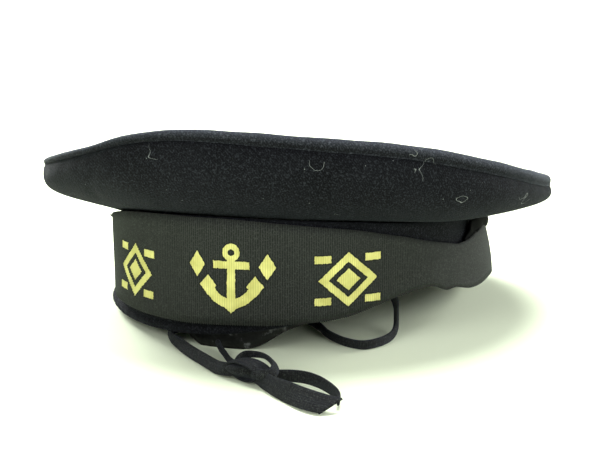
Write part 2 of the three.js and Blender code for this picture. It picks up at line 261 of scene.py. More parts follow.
def ribbonFinish():
    f = Finish("ribbon")
    x, y, z = f.split(f.place)
    turn = f.math("ARCTAN2", x, f.math("MULTIPLY", y, -1))
    reach = f.math("SQRT", f.math("ADD", f.math("MULTIPLY", x, x), f.math("MULTIPLY", y, y)))
    rib = f.math("COSINE", f.math("MULTIPLY", turn, ribCount))
    weft = f.noise(1700, 2, 0.7)
    cloud = f.noise(45, 3, 0.6)
    colour = f.mix(f.span(cloud, 0.3, 0.7), (0.0060, 0.0068, 0.0063), (0.0102, 0.0116, 0.0105))
    # painted highlight: the rib crests are made lighter, as the raised ribs catch the light
    colour = f.mix(f.span(rib, 0.1, 1, 0, 0.85), colour, (0.029, 0.033, 0.029))
    colour = f.mix(f.span(weft, 0.48, 0.72, 0, 0.8), colour, (0.043, 0.048, 0.042))
    forms = []
    for motif in motifs:
        away = f.math("SUBTRACT", turn, math.radians(motif["turn"]))
        u = f.math("MULTIPLY", f.math("MULTIPLY", away, reach), 1000)
        v = f.math("MULTIPLY", f.math("SUBTRACT", z, motif["middle"]), 1000)
        forms.append(motif["form"](f, u, v))
    ragged = f.math("MULTIPLY", f.math("SUBTRACT", f.noise(900, 2), 0.5), 0.7)
    edge = f.math("ADD", nearest(f, forms), ragged)
    foil = f.math("LESS_THAN", edge, 0)
    rimLine = f.math("LESS_THAN", edge, 0.55)
    wornOrToplit = f.math("GREATER_THAN", f.noise(1300, 3, 0.7), 0.71)
    foil = f.math("SUBTRACT", foil, f.math("MULTIPLY", f.math("MULTIPLY", foil, wornOrToplit), 0.8))
    colour = f.mix(f.math("MULTIPLY", rimLine, 0.7), colour, (0.008, 0.009, 0.008))
    gold = f.mix(f.span(f.noise(160, 3), 0.35, 0.7), (0.50, 0.475, 0.15), (0.69, 0.665, 0.25))
    # painted shade: the gold is darker in the rib valleys
    gold = f.mix(f.span(rib, -1, 0.2, 0.45, 0), gold, (0.31, 0.28, 0.08))
    colour = f.mix(foil, colour, gold)
    rough = f.span(foil, 0, 1, 0.72, 0.42)
    raised = f.bump(foil, 0.0001, 0.5, f.bump(weft, 0.0002, 0.35))
    f.put(Base_Color=colour, Roughness=rough, Metallic=f.math("MULTIPLY", foil, 0.35), Normal=raised)
    f.put(Sheen_Weight=0.03, Sheen_Roughness=0.5, Sheen_Tint=(0.8, 0.86, 0.8, 1), Specular_IOR_Level=0.18)
    return f.material


# painted shade: the ribbon's own cloth, made near black for the shade under the crown
def tabFinish():
    f = Finish("ribbonEnd")
    x, y, z = f.split(f.place)
    turn = f.math("ARCTAN2", x, f.math("MULTIPLY", y, -1))
    rib = f.math("COSINE", f.math("MULTIPLY", turn, ribCount))
    colour = f.mix(f.span(rib, -1, 1), (0.0015, 0.0015, 0.0015), (0.004, 0.0045, 0.0045))
    f.put(Base_Color=colour, Roughness=0.85, Normal=f.bump(f.noise(1500, 3), 0.0002, 0.5))
    f.put(Specular_IOR_Level=0.02)
    return f.material


def leatherFinish():
    f = Finish("leather")
    pebble = f.cells(620)[0]
    patch = f.noise(130, 4, 0.7)
    scuff = f.noise(300, 3, 0.6)
    # pale grey patches: worn leather with painted reflections of light on it
    colour = f.mix(f.span(patch, 0.55, 0.63), (0.0025, 0.003, 0.003), (0.085, 0.09, 0.09))
    colour = f.mix(f.span(scuff, 0.6, 0.8), colour, (0.012, 0.013, 0.013))
    normal = f.bump(pebble, 0.0003, 0.5, f.bump(scuff, 0.0006, 0.5))
    f.put(Base_Color=colour, Roughness=f.span(patch, 0.3, 0.7, 0.3, 0.5), Normal=normal)
    f.put(Specular_IOR_Level=0.25)
    return f.material


# Woven tape in a herringbone: the piece's own UV map has metres across and along
def tapeFinish():
    f = Finish("tape")
    u, v, w = f.split(f.uv)
    band = f.math("PINGPONG", u, 0.0016)
    slant = f.math("ADD", v, f.math("MULTIPLY", band, 1.3))
    twill = f.math("SINE", f.math("MULTIPLY", slant, fullTurn / 0.00075))
    warp = f.math("SINE", f.math("MULTIPLY", u, fullTurn / 0.0006))
    weave = f.math("MULTIPLY", twill, warp)
    cloud = f.noise(140, 3, 0.6)
    speck = f.noise(1500, 2, 0.7)
    colour = f.mix(f.span(cloud, 0.3, 0.7), (0.0026, 0.0030, 0.0038), (0.0055, 0.0064, 0.0072))
    colour = f.mix(f.span(weave, 0.1, 1.0, 0, 0.5), colour, (0.030, 0.033, 0.031))
    colour = f.mix(f.span(speck, 0.50, 0.70), colour, (0.034, 0.038, 0.034))
    colour = f.mix(f.math("MULTIPLY", lint(f, 0.95), 0.4), colour, (0.25, 0.25, 0.22))
    normal = f.bump(twill, 0.00012, 0.7, f.bump(warp, 0.00008, 0.5))
    f.put(Base_Color=colour, Roughness=0.88, Normal=normal)
    f.put(Sheen_Weight=0.06, Sheen_Roughness=0.4, Sheen_Tint=(0.6, 0.7, 0.95, 1), Specular_IOR_Level=0.2)
    return f.material


def floorFinish():
    f = Finish("paleFloor")
    f.put(Base_Color=(0.83, 0.92, 0.70, 1), Roughness=0.9, Specular_IOR_Level=0.1)
    return f.material


wool = woolFinish("wool", 0)
# the crown top's wool, with painted top light
toplitWool = woolFinish("toplitWool", 4.2)
ribbonCloth = ribbonFinish()
tabCloth = tabFinish()
leather = leatherFinish()
tape = tapeFinish()
print("materials done")


# A finished piece from a bmesh
def newPiece(name, bm, material, replaced):
    for face in bm.faces:
        face.smooth = True
    mesh = bpy.data.meshes.new(name)
    bm.to_mesh(mesh)
    bm.free()
    mesh.materials.append(material)
    piece = bpy.data.objects.new(name, mesh)
    bpy.context.collection.objects.link(piece)
    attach(piece, "root")
    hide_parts(*replaced)
    lowest = min(v.co.z for v in mesh.vertices)
    print("piece", name, "faces", len(mesh.polygons), "lowest mm", round(lowest / mm, 2))
    return piece


# Centripetal curve through the points of a route, as the CAD's is
def smoothLine(route, steps):
    points = [Vector(p) for p in route]
    points.insert(0, points[0] * 2 - points[1])
    points.append(points[-1] * 2 - points[-2])
    dense = []
    for i in range(1, len(points) - 2):
        p = points[i - 1:i + 3]
        t = [0]
        for a, b in zip(p, p[1:]):
            t.append(t[-1] + math.sqrt((b - a).length))
        for k in range(24):
            x = t[1] + (t[2] - t[1]) * k / 24
            a = [p[j].lerp(p[j + 1], (x - t[j]) / (t[j + 1] - t[j])) for j in range(3)]
            b = [a[j].lerp(a[j + 1], (x - t[j]) / (t[j + 2] - t[j])) for j in range(2)]
            dense.append(b[0].lerp(b[1], (x - t[1]) / (t[2] - t[1])))
    dense.append(points[-2].copy())
    return evenly(dense, steps)


def evenly(line, steps):
    run = [0]
    for a, b in zip(line, line[1:]):
        run.append(run[-1] + (b - a).length)
    even = []
    i = 0
    for k in range(steps + 1):
        want = run[-1] * k / steps
        while i < len(line) - 2 and run[i + 1] < want:
            i += 1
        even.append(line[i].lerp(line[i + 1], (want - run[i]) / max(run[i + 1] - run[i], 1e-9)))
    return even


# Value at a share of the way, from pairs of share and value
def ease(pairs, share):
    for (s0, v0), (s1, v1) in zip(pairs, pairs[1:]):
        if share <= s1:
            t = (share - s0) / (s1 - s0)
            t = t * t * (3 - 2 * t)
            return v0 + (v1 - v0) * t
    return pairs[-1][1]


# Draws a ring of a swept section on to its next place
def nextRing(bm, ring, move):
    edges = {e for v in ring for e in v.link_edges if e.other_vert(v) in ring}
    made = bmesh.ops.extrude_edge_only(bm, edges=list(edges))
    drawn = [g for g in made["geom"] if isinstance(g, bmesh.types.BMVert)]
    bmesh.ops.transform(bm, matrix=move, verts=drawn)
    return drawn


# Sweeps a flat rounded section along a line. Wide, thick and tilt are pairs of share and value.
# A fold edge turns the section's wide way to it over the last part.
def sweepTape(bm, line, wide, thick, tilt, sides=16, foldEdge=None, foldFrom=0.55):
    uvLayer = bm.loops.layers.uv.verify()
    before = set(bm.verts)
    placed = {}
    run = 0
    ring = []
    last = None
    for i, point in enumerate(line):
        share = i / (len(line) - 1)
        ahead = line[min(i + 1, len(line) - 1)]
        behind = line[max(i - 1, 0)]
        along = (ahead - behind).normalized()
        level = along.cross(Vector((0, 0, 1)))
        level = level.normalized() if level.length > 0.05 else Vector((1, 0, 0))
        up = level.cross(along).normalized()
        angle = math.radians(ease(tilt, share))
        side = level * math.cos(angle) + up * math.sin(angle)
        face = side.cross(along).normalized()
        halfWide = ease(wide, share) / 2
        halfThick = ease(thick, share) / 2
        deep = math.hypot(side.z * halfWide, face.z * halfThick)
        centre = Vector((point.x, point.y, max(point.z, deep + 0.1 * mm)))
        line[i] = centre
        reach = side * halfWide
        if foldEdge is not None and share > foldFrom:
            pull = (share - foldFrom) / (1 - foldFrom)
            reach = reach.lerp(foldEdge if reach.dot(foldEdge) > 0 else -foldEdge, pull)
        turnTo = Matrix((reach, face * halfThick, along)).transposed().to_4x4()
        frameNow = Matrix.Translation(centre) @ turnTo
        if i == 0:
            made = bmesh.ops.create_circle(bm, segments=sides, radius=1, matrix=frameNow)
            ring = made["verts"]
        else:
            run += (centre - line[i - 1]).length
            ring = nextRing(bm, ring, frameNow @ last.inverted())
        inverse = frameNow.inverted()
        for v in ring:
            spot = inverse @ v.co
            placed[v] = (math.atan2(spot.y, spot.x) / fullTurn % 1, run)
        last = frameNow
    fresh = [f for f in bm.faces if all(v not in before for v in f.verts)]
    around = 2.2 * ease(wide, 0.5)
    for face in fresh:
        low = min(placed[v][0] for v in face.verts)
        high = max(placed[v][0] for v in face.verts)
        for corner in face.loops:
            u, v = placed[corner.vert]
            if high - low > 0.5 and u < 0.5:
                u += 1
            corner[uvLayer].uv = (u * around, v)
    ends = [e for e in bm.edges if e.is_boundary and e.verts[0] not in before]
    bmesh.ops.holes_fill(bm, edges=ends, sides=sides)
    bmesh.ops.recalc_face_normals(bm, faces=bm.faces[:])
    return line


# Chin strap, tied in a bow: the CAD's routes, in metres

def metres(rows):
    return [tuple(value * mm for value in row) for row in rows]


chinStrap = {
    "sideRoute": metres([
        [58.5, -50.5, 18], [60, -52, 12], [60.6, -54.5, 5.4], [60, -61, 2.2], [57.4, -69.2, 2.1],
        [52.6, -74.8, 2.1], [46, -74.4, 2.1], [36.6, -67, 2.1], [30, -58, 2.1], [19, -48, 2.1],
        [3, -48, 2.1], [-11, -58, 2.1], [-19, -74, 2.1], [-20, -87, 2.1], [-15.6, -96, 2.1],
        [-8.6, -103.9, 2.1], [2.9, -117, 2.1], [10.6, -125.6, 2.4], [14.8, -129.9, 3.4],
    ]),
    "frontRoute": metres([
        [1.6, -99.4, 3.6], [3.8, -102.4, 2.6], [7.4, -107, 2.2], [13.2, -115.6, 2.5], [19.3, -124.3, 3.9],
    ]),
    "longLoopStart": metres([[38.5, -130.9, 3]])[0],
}

strapLooks = [
    {
        "name": "chinStrapSide", "node": "chin_strap_side", "route": "sideRoute", "steps": 260,
        "wide": [(0, 3.2), (0.1, 3.9), (0.3, 3.7), (0.7, 3.6), (0.82, 4.9), (1, 5.2)],
        "thick": [(0, 2.2), (0.7, 2.3), (0.85, 2.2), (1, 2.2)],
        "tilt": [(0, 80), (0.12, 88), (0.3, 94), (0.7, 100), (0.82, 116), (1, 112)],
    },
    {
        "name": "chinStrapFront", "node": "chin_strap_front", "route": "frontRoute", "steps": 60,
        "wide": [(0, 3.6), (0.6, 3.4), (1, 4.2)],
        "thick": [(0, 2.2), (1, 2.4)],
        "tilt": [(0, 70), (1, 60)],
    },
    {
        "name": "bowSmallLoop", "node": "bow_small_loop", "route": "smallLoop", "steps": 80,
        "wide": [(0, 4.2), (0.5, 3.8), (1, 4.4)],
        "thick": [(0, 2.1), (0.5, 1.9), (1, 2.2)],
        "tilt": [(0, 70), (0.4, 40), (0.75, 50), (1, 70)],
    },
    {"name": "bowLongLoop", "node": "bow_long_loop", "route": "longLoop"},
]


# The routes as the photograph shows them where they are in sight, and on into the knot
seenRoutes = {
    "sideRoute": chinStrap["sideRoute"][:1] + metres([
        [60.6, -50.6, 13.5], [61.3, -51.6, 8], [61.9, -54, 4.2], [62.1, -60, 2.3], [60, -71, 2.1],
        [54.8, -77.6, 2.1], [47, -75.8, 2.1],
    ]) + chinStrap["sideRoute"][7:12] + metres([
        [-20.5, -72, 2.1], [-25.5, -85, 2.1], [-21.9, -92.8, 2.1], [-13.2, -102.6, 2.1], [-4.4, -111.2, 2.1],
        [4.7, -119.1, 2.1], [12.4, -125.8, 2.5], [18, -129.6, 3.4], [22, -130, 4],
    ]),
    "frontRoute": chinStrap["frontRoute"] + metres([[22.6, -127.6, 4]]),
    "smallLoop": metres([
        [23.5, -128, 4.4], [20.6, -125.4, 5.6], [21.8, -120.6, 6.8], [28.6, -120.4, 7.2], [34.8, -126, 6.9],
        [38.4, -132, 6.4], [38.6, -136.4, 6], [35.6, -137.4, 5.4], [31, -134, 4.4],
    ]),
    "longUpper": metres([
        [33.4, -130.8, 3.8], [38.6, -129.6, 3.2], [43, -127.9, 3], [48.4, -127.7, 2.9], [54.4, -130.4, 2.8],
        [59.8, -135.1, 2.8], [64.1, -140.1, 2.8], [67.0, -144.6, 2.8], [68.4, -149.2, 2.7],
    ]),
    "longLower": metres([
        [28.6, -132, 3.8], [35.4, -136.9, 3.4], [43.2, -143.6, 3.5], [50.8, -148.8, 3.6], [57.9, -152.6, 3.4],
        [63, -154.2, 3], [67.5, -154.6, 2.5],
    ]),
}

# The long loop is folded flat at its tip, where the wide lower strand ends in a slanting edge
longLoop = {
    "edge": (3.1, 3.6, 1.95),
    "upper": {"wide": [(0, 4.6), (0.3, 4.8), (0.8, 4.4), (1, 3.0)], "tilt": [(0, 84), (0.5, 98), (1, 96)]},
    "lower": {"wide": [(0, 5.4), (0.25, 6.2), (0.6, 7.6), (1, 8)], "tilt": [(0, 92), (0.3, 114), (1, 116)]},
    "thick": [(0, 2.1), (0.5, 1.5), (1, 1.2)],
}


def inMetres(pairs):
    return [(share, value * mm) for share, value in pairs]


def makeLongLoop(bm):
    for half, edge in (("upper", None), ("lower", Vector(longLoop["edge"]) * mm)):
        line = smoothLine(seenRoutes["long" + half.capitalize()], 110)
        look = longLoop[half]
        sweepTape(bm, line, inMetres(look["wide"]), inMetres(longLoop["thick"]), look["tilt"], foldEdge=edge)
    turn = metres([[68.6, -151.2, 2.6]])
    return smoothLine(seenRoutes["longUpper"][:-1] + turn + seenRoutes["longLower"][-2::-1], 220)


def makeStrap(look):
    bm = bmesh.new()
    if look["route"] == "longLoop":
        path = makeLongLoop(bm)
    else:
        line = smoothLine(seenRoutes[look["route"]], look["steps"])
        path = sweepTape(bm, line, inMetres(look["wide"]), inMetres(look["thick"]), look["tilt"])
    piece = newPiece(look["name"], bm, tape, [look["node"]])
    length = sum((b - a).length for a, b in zip(path, path[1:]))
    print("strap piece", look["name"], "length", round(length, 4))
    return piece, path, length


bowKnot = {
    "middle": (27 * mm, -129.5 * mm, 4 * mm),
    "half": (9.6 * mm, 4.6 * mm, 2.7 * mm),
    "turn": -5,
    "wrapWidth": 8.4 * mm,
    "wrapThick": 1.4 * mm,
    "wrapTurns": 1.12,
    "wrapLean": 66,    # degrees from the strands' line to the wrap's axis
    "wrapReach": 8.8 * mm,
    "wrapUp": 3.2 * mm,
}


# The knot: a folded core and a flat turn of tape over it
def makeKnot():
    bm = bmesh.new()
    lay = Matrix.Translation(bowKnot["middle"]) @ Matrix.Rotation(math.radians(bowKnot["turn"]), 4, "Z")
    size = Matrix.Diagonal((*bowKnot["half"], 1))
    bmesh.ops.create_uvsphere(bm, u_segments=48, v_segments=28, radius=1, matrix=lay @ size)
    for v in bm.verts:
        spot = lay.inverted() @ v.co
        fold = math.sin(spot.y / bowKnot["half"][1] * 5.2 + spot.x / bowKnot["half"][0] * 1.2)
        v.co.z += fold * 0.35 * mm
        v.co.z = max(v.co.z, 0.2 * mm)
    uvLayer = bm.loops.layers.uv.verify()
    for face in bm.faces:
        for corner in face.loops:
            spot = lay.inverted() @ corner.vert.co
            corner[uvLayer].uv = (spot.y, spot.x)
    lean = math.radians(bowKnot["wrapLean"])
    across = Vector((-math.sin(lean), math.cos(lean), 0))
    strand = Vector((math.cos(lean), math.sin(lean), 0))
    turns = 72
    reachAcross = bowKnot["wrapReach"]
    reachUp = bowKnot["wrapUp"]
    before = set(bm.verts)
    last = None
    ring = []
    for i in range(turns + 1):
        angle = fullTurn * bowKnot["wrapTurns"] * i / turns - 0.6
        centre = across * math.cos(angle) * reachAcross + Vector((0, 0, math.sin(angle) * reachUp))
        centre += strand * (i / turns - 0.5) * 1.6 * mm
        outward = across * math.cos(angle) * reachUp + Vector((0, 0, math.sin(angle) * reachAcross))
        outward.normalize()
        along = strand.cross(outward).normalized()
        wide = strand * bowKnot["wrapWidth"] / 2
        deep = outward * bowKnot["wrapThick"] / 2
        frameNow = lay @ Matrix.Translation(centre) @ Matrix((wide, deep, along)).transposed().to_4x4()
        if i == 0:
            ring = bmesh.ops.create_circle(bm, segments=20, radius=1, matrix=frameNow)["verts"]
        else:
            ring = nextRing(bm, ring, frameNow @ last.inverted())
        last = frameNow
    ends = [e for e in bm.edges if e.is_boundary]
    bmesh.ops.holes_fill(bm, edges=ends, sides=20)
    for face in bm.faces:
        if face.verts[0] not in before:
            for corner in face.loops:
                spot = lay.inverted() @ corner.vert.co
                corner[uvLayer].uv = (spot.dot(strand), math.atan2(spot.z, spot.dot(across)) * reachAcross)
    for v in bm.verts:
        v.co.z = max(v.co.z, 0.2 * mm)
    bmesh.ops.recalc_face_normals(bm, faces=bm.faces[:])
    return newPiece("bowKnot", bm, tape, ["bow_knot"])


knot = makeKnot()
for look in strapLooks:
    makeStrap(look)

print("chin strap done")


# Shape tables, as in the CAD: turn is degrees from the forehead towards the wearer's left

crown = {
    "width": 0.229,
    "lift": 0.085,
    "middle": 0.066,
    "cloth": 0.0018,
    "roll": 0.006,
    "turns": 360,
    "seamAngle": -65,
    "groove": 0.0008,    # how far the seam lies in from the rim
    "crease": 0.0009,    # depth of the slanting crease at the wearer's right
    "pleats": 61,        # fine puckers along the seam
    "gathers": 47,       # softer ones at the neck
    "tips": ((-72, 18), (112, 20)),    # turn and spread of the two ends of the rim
    "sags": ((12.6, -72, 32), (-1.6, 56, 16), (3.6, 92, 18)),    # mm up, turn and spread, under the rim
    "columns": ("turn", "reach", "lift", "roll", "belly"),
    "rows": [
        (-180, 1, 0.56, 0.9, 0.4),
        (-150, 1, 0.57, 0.9, 0.4),
        (-120, 1, 0.62, 0.8, 0.4),
        (-90, 0.995, 0.68, 0.45, 0.66),
        (-60, 1.01, 0.757, 0.45, 0.63),
        (-30, 1.01, 0.895, 0.5, 0.4),
        (-15, 1.005, 0.98, 0.63, 0.37),
        (0, 1, 1.009, 0.76, 0.36),
        (30, 1, 0.962, 0.86, 0.38),
        (45, 1, 0.912, 0.92, 0.41),
        (60, 1, 0.834, 0.94, 0.45),
        (90, 0.993, 0.677, 0.86, 0.52),
        (120, 0.99, 0.6, 0.85, 0.46),
        (150, 1, 0.57, 0.9, 0.45),
    ],
}

headband = {
    "length": 0.197,
    "width": 0.165,
    "top": 0.054,
    "wall": 0.0024,
    "hemRoll": 0.0014,
    "hemBulge": (0.0024, -57, 16),    # metres out, turn and spread, at the wearer's right front
    "turns": 360,
    "columns": ("turn", "neck", "hem", "bulge", "rise", "fall"),
    "rows": [
        (-180, 1, 1, 1, 0.62, 0),
        (-150, 1, 1, 1, 0.62, 0),
        (-120, 1, 0.98, 0.8, 0.62, 0),
        (-90, 1, 0.96, 0.4, 0.65, 0.03),
        (-60, 0.965, 0.955, 0.3, 0.77, 0.04),
        (-30, 0.98, 0.97, 0.3, 0.93, 0.06),
        (0, 1, 0.985, 0.3, 1, 0.115),
        (30, 1, 0.98, 0.5, 0.96, 0.26),
        (60, 0.98, 0.985, 0.9, 0.86, 0.37),
        (90, 0.95, 1.005, 1.1, 0.79, 0.28),
        (120, 0.96, 1.005, 1.2, 0.72, 0.1),
        (150, 1, 1, 1.1, 0.63, 0),
    ],
}

hatRibbon = {
    "wall": 0.001,
    "reach": 0.0022,
    "layer": 0.0004,
    "ribDepth": 0.00016,
    "stepsPerRib": 2,
    "endRise": 0.0034,    # its end rises beside the dark fold
    "endFrom": (71, 86),
    "endFlare": 0.0016,
    "sideRise": 0.0034,    # its lower edge rises at the wearer's left back
    "dip": 0.0022,    # and dips in one place before that
    "corner": 0.0042,    # curled corner at the wearer's right
    "tuck": 0.0018,    # drawn in towards the hem at the right front
    "flatWidth": 0.033,    # mean width that shows, laid flat
    "slack": 0.008,    # what the ribbon's round adds to the head's length and width together
    "columns": ("turn", "top", "foot", "flare", "stand"),
    "rows": [
        (-180, 0.57, 0.1, 0.1, 0.1),
        (-120, 0.58, 0.09, 0.3, 0.1),
        (-90, 0.61, 0.27, 0.7, 0.3),
        (-60, 0.76, 0.225, 0.6, 0),
        (-30, 0.935, 0.205, 0.3, 0.5),
        (0, 1.0, 0.215, 0.2, 0.6),
        (30, 0.92, 0.258, 0.3, 0.6),
        (45, 0.825, 0.365, 0.3, 0.7),
        (60, 0.72, 0.392, 0.2, 0.8),
        (77, 0.63, 0.27, 0.2, 0.9),
        (95, 0.62, 0.22, 0.3, 1),
        (120, 0.56, 0.14, 0.3, 0.3),
        (150, 0.56, 0.11, 0.1, 0.1),
    ],
}

ribbonTab = {
    "off": 0.0016,    # how far it stands off the band
    "lean": 0.0048,    # how far its top leans out
    "steps": 66,
    "columns": ("turn", "edge"),
    "rows": [(76, 0.66), (80, 0.7), (86, 0.772), (98, 0.772), (104, 0.73), (109, 0.66)],
}

sweatband = {
    "wall": 0.0016,
    "height": 0.034,
    "turns": 360,
    "columns": ("turn", "foot"),
    "rows": [
        (-180, 0.12), (-120, 0.14), (-60, 0.22), (-30, 0.2), (-15, 0.15), (-10, 0.14), (-5, 0), (0, 0),
        (5, 0), (10, 0.05), (17, 0.24), (30, 0.42), (60, 0.6), (90, 0.45), (130, 0.18),
    ],
}


# Smooth periodic curves through a table's columns
def around(table, degrees):
    rows = table["rows"]
    count = len(rows)

    def row(i):
        lap = i // count
        return rows[i - lap * count][0] + 360 * lap, rows[i - lap * count]

    turn = degrees - 360 * math.floor((degrees - rows[0][0]) / 360)
    i = 0
    while row(i + 1)[0] <= turn:
        i += 1
    knots = [row(i + k) for k in (-1, 0, 1, 2)]
    span = knots[2][0] - knots[1][0]
    t = (turn - knots[1][0]) / span
    bend = t * t * (3 - 2 * t)
    found = {}
    for column, name in enumerate(table["columns"]):
        if column == 0:
            continue
        v = [k[1][column] for k in knots]
        slopeA = (v[2] - v[0]) / (knots[2][0] - knots[0][0])
        slopeB = (v[3] - v[1]) / (knots[3][0] - knots[1][0])
        pull = t * (1 - t) * (1 - t) * slopeA - t * t * (1 - t) * slopeB
        found[name] = v[1] * (1 - bend) + v[2] * bend + pull * span
    return found


def between(table, degrees):
    rows = table["rows"]
    for a, b in zip(rows, rows[1:]):
        if degrees <= b[0]:
            share = (degrees - a[0]) / (b[0] - a[0])
            return a[1] + (b[1] - a[1]) * share
    return rows[-1][1]


def blend(a, b, t):
    return a + (b - a) * t


def place(point, degrees):
    a = math.radians(degrees)
    return Vector((point[0] * math.sin(a), -point[0] * math.cos(a), point[1]))


def headOval(degrees):
    a = math.radians(degrees)
    return 1 / math.hypot(math.sin(a) / (headband["width"] / 2), math.cos(a) / (headband["length"] / 2))


# Soft unevenness of hand-pressed cloth, the same each run
def soft(degrees, height, size, seed):
    a = math.radians(degrees)
    return noise.noise(Vector((math.sin(a) * size, -math.cos(a) * size, height * 40 + seed)))


# Rises to 1 at one turn and falls away on both sides
def hump(degrees, middle, spread):
    away = (degrees - middle + 180) % 360 - 180
    return math.exp(-(away / spread) ** 2)


# A path of (radius, height) points closed into a wall to its right
def wallLoop(path, wall):
    back = []
    for i, (r, z) in enumerate(path):
        r0, z0 = path[max(i - 1, 0)]
        r1, z1 = path[min(i + 1, len(path) - 1)]
        length = math.hypot(r1 - r0, z1 - z0)
        back.append((r + (z1 - z0) / length * wall, z - (r1 - r0) / length * wall))
    return path + back[::-1]


# Spins a plain chain of points round the axis, then moves each turn's points to its own section
def spinSections(loopAt, turns, start=-180, sweep=360, closed=True, poles=False):
    count = len(loopAt(start))
    bm = bmesh.new()
    chain = [bm.verts.new((k + 1, 0, 0)) for k in range(count)]
    if poles:
        chain[0].co = (0, 0, 0)
        chain[-1].co = (0, 0, -1)
    for a, b in zip(chain, chain[1:]):
        bm.edges.new((a, b))
    if closed:
        bm.edges.new((chain[-1], chain[0]))
    full = sweep == 360
    bmesh.ops.spin(bm, geom=bm.verts[:] + bm.edges[:], cent=(0, 0, 0), axis=(0, 0, 1),
                   angle=math.radians(sweep), steps=turns, use_merge=full)
    loops = {}
    for v in bm.verts:
        radius = math.hypot(v.co.x, v.co.y)
        if poles and radius < 0.5:
            k = 0 if v.co.z > -0.5 else count - 1
            v.co = place(loopAt(start)[k], start)
            continue
        share = math.degrees(math.atan2(v.co.y, v.co.x)) % 360 / sweep
        i = round(share * turns)
        if full:
            i %= turns
        elif share > 1.5 * sweep / 360 and i > turns:
            i = 0
        if i not in loops:
            loops[i] = loopAt(start + sweep * i / turns)
        v.co = place(loops[i][round(radius) - 1], start + sweep * i / turns)
    if poles:
        bmesh.ops.remove_doubles(bm, verts=bm.verts[:], dist=1e-6)
    if not full:
        ends = [e for e in bm.edges if e.is_boundary]
        bmesh.ops.holes_fill(bm, edges=ends, sides=count)
    bmesh.ops.recalc_face_normals(bm, faces=bm.faces[:])
    return bm


# Crown: the top panel rolls over the rim, and the side panel hangs from the seam under it

def rimPoint(row, angle, half=None):
    half = row["roll"] * crown["roll"] / 2 if half is None else half
    a = math.radians(angle)
    rimReach = row["reach"] * crown["width"] / 2
    reach = rimReach - half + math.cos(a) * half
    if angle < 0:
        reach = max(reach, rimReach - row["groove"])
    above = math.sin(a) - math.sin(math.radians(crown["seamAngle"]))
    return reach, row["lift"] * crown["lift"] + above * half


# The seam lies less deep at the two ends of the rim that show in outline
def crownRow(degrees):
    row = around(crown, degrees)
    row["tip"] = sum(hump(degrees, turn, spread) for turn, spread in crown["tips"])
    row["groove"] = crown["groove"] * max(1 - row["tip"], 0.04)
    return row


def seamPucker(degrees):
    return math.sin(math.radians(degrees) * crown["pleats"] + 2 * soft(degrees, 0, 5, 8))


def topLoop(degrees):
    row = crownRow(degrees)
    edge, height = rimPoint(row, 100)
    path = []
    for k in range(30):
        t = 0.97 * k / 29
        dip = soft(degrees, 0, 2.2 * t, 3) * 1.5 * mm * min(1, 4 * t) * (1 - t * t)
        path.append((edge * t, crown["middle"] + (height - crown["middle"]) * t * t + dip))
    for k in range(17):
        angle = blend(100, crown["seamAngle"] - 8, k / 16)
        r, z = rimPoint(row, angle)
        pucker = seamPucker(degrees) * 0.10 * mm * k / 16
        wave = soft(degrees, 0, 7, 1) * 0.35 * mm
        a = math.radians(angle)
        path.append((r + (pucker + wave) * math.cos(a), z + wave * math.sin(a)))
    path.append((path[-1][0] - 1.2 * mm, path[-1][1] - 0.1 * mm))
    loop = wallLoop(path, crown["cloth"])
    loop[0] = (0, crown["middle"])
    loop[-1] = (0, crown["middle"] - crown["cloth"])
    return loop


def bezier(points, pieces):
    line = []
    for k in range(pieces + 1):
        t = k / pieces
        weights = ((1 - t) ** 3, 3 * t * (1 - t) ** 2, 3 * t * t * (1 - t), t ** 3)
        line.append(tuple(sum(w * p[j] for w, p in zip(weights, points)) for j in range(2)))
    return line


def sideLoop(degrees):
    row = crownRow(degrees)
    head = around(headband, degrees)
    reach = row["reach"] * crown["width"] / 2
    edge, height = rimPoint(row, crown["seamAngle"])
    seam = height - 0.3 * mm * max(1 - row["tip"], 0.2)
    neck = head["neck"] * headOval(degrees) - headband["wall"]
    foot = head["rise"] * headband["top"] + 0.3 * mm
    drop = seam - foot
    belly = row["belly"]
    under = sum(rise * hump(degrees, turn, spread) for rise, turn, spread in crown["sags"]) * mm
    bulge = crown["cloth"] * 2 * (1 - 0.45 * row["tip"])
    path = bezier([
        (edge, seam),
        (reach + bulge, seam - drop * belly),
        (neck + (reach - neck) * 0.84, foot + drop * (0.72 - belly) ** 2 * 2 + under),
        (neck, foot),
    ], 30)
    dented = []
    for k, (r, z) in enumerate(path):
        t = k / 30
        free = 4 * t * (1 - t)
        dent = soft(degrees, z, 2.4, 11) * 1.3 * mm * free + soft(degrees, z, 8, 5) * 0.35 * mm * free
        pucker = seamPucker(degrees) * 0.14 * mm * (1 - t) ** 6
        crease = crown["crease"] * hump(degrees + 15 * t, -22, 2.2) * free ** 2
        gathering = math.sin(math.radians(degrees) * crown["gathers"] + 5 * soft(degrees, 0, 3, 2))
        gather = gathering * 0.22 * mm * t ** 5 * free
        dented.append((r + dent + pucker + gather - crease, z))
    tucked = [(edge - 1.1 * mm, seam + 0.15 * mm), (edge - 0.4 * mm, seam + 0.1 * mm)]
    return wallLoop(tucked + dented[1:], crown["cloth"])


topShape = spinSections(topLoop, crown["turns"], closed=False, poles=True)
crownTop = newPiece("crownTop", topShape, toplitWool, ["crown_top"])

# Painted top light along the rim: 0 at the seam, 1 where the cloth faces up, and little on the flat middle
paintedToplightOf = crownTop.data.attributes.new("paintedToplight", "FLOAT", "POINT")
upward = []
for v in crownTop.data.vertices:
    facing = min(max((v.normal.z + 0.35) / 1.1, 0), 1)
    rimShare = min(max((math.hypot(v.co.x, v.co.y) - 0.078) / 0.03, 0), 1)
    upward.append(facing * (0.12 + 0.88 * rimShare))
paintedToplightOf.data.foreach_set("value", upward)
newPiece("crownSide", spinSections(sideLoop, crown["turns"]), wool, ["crown_side"])
print("crown done")


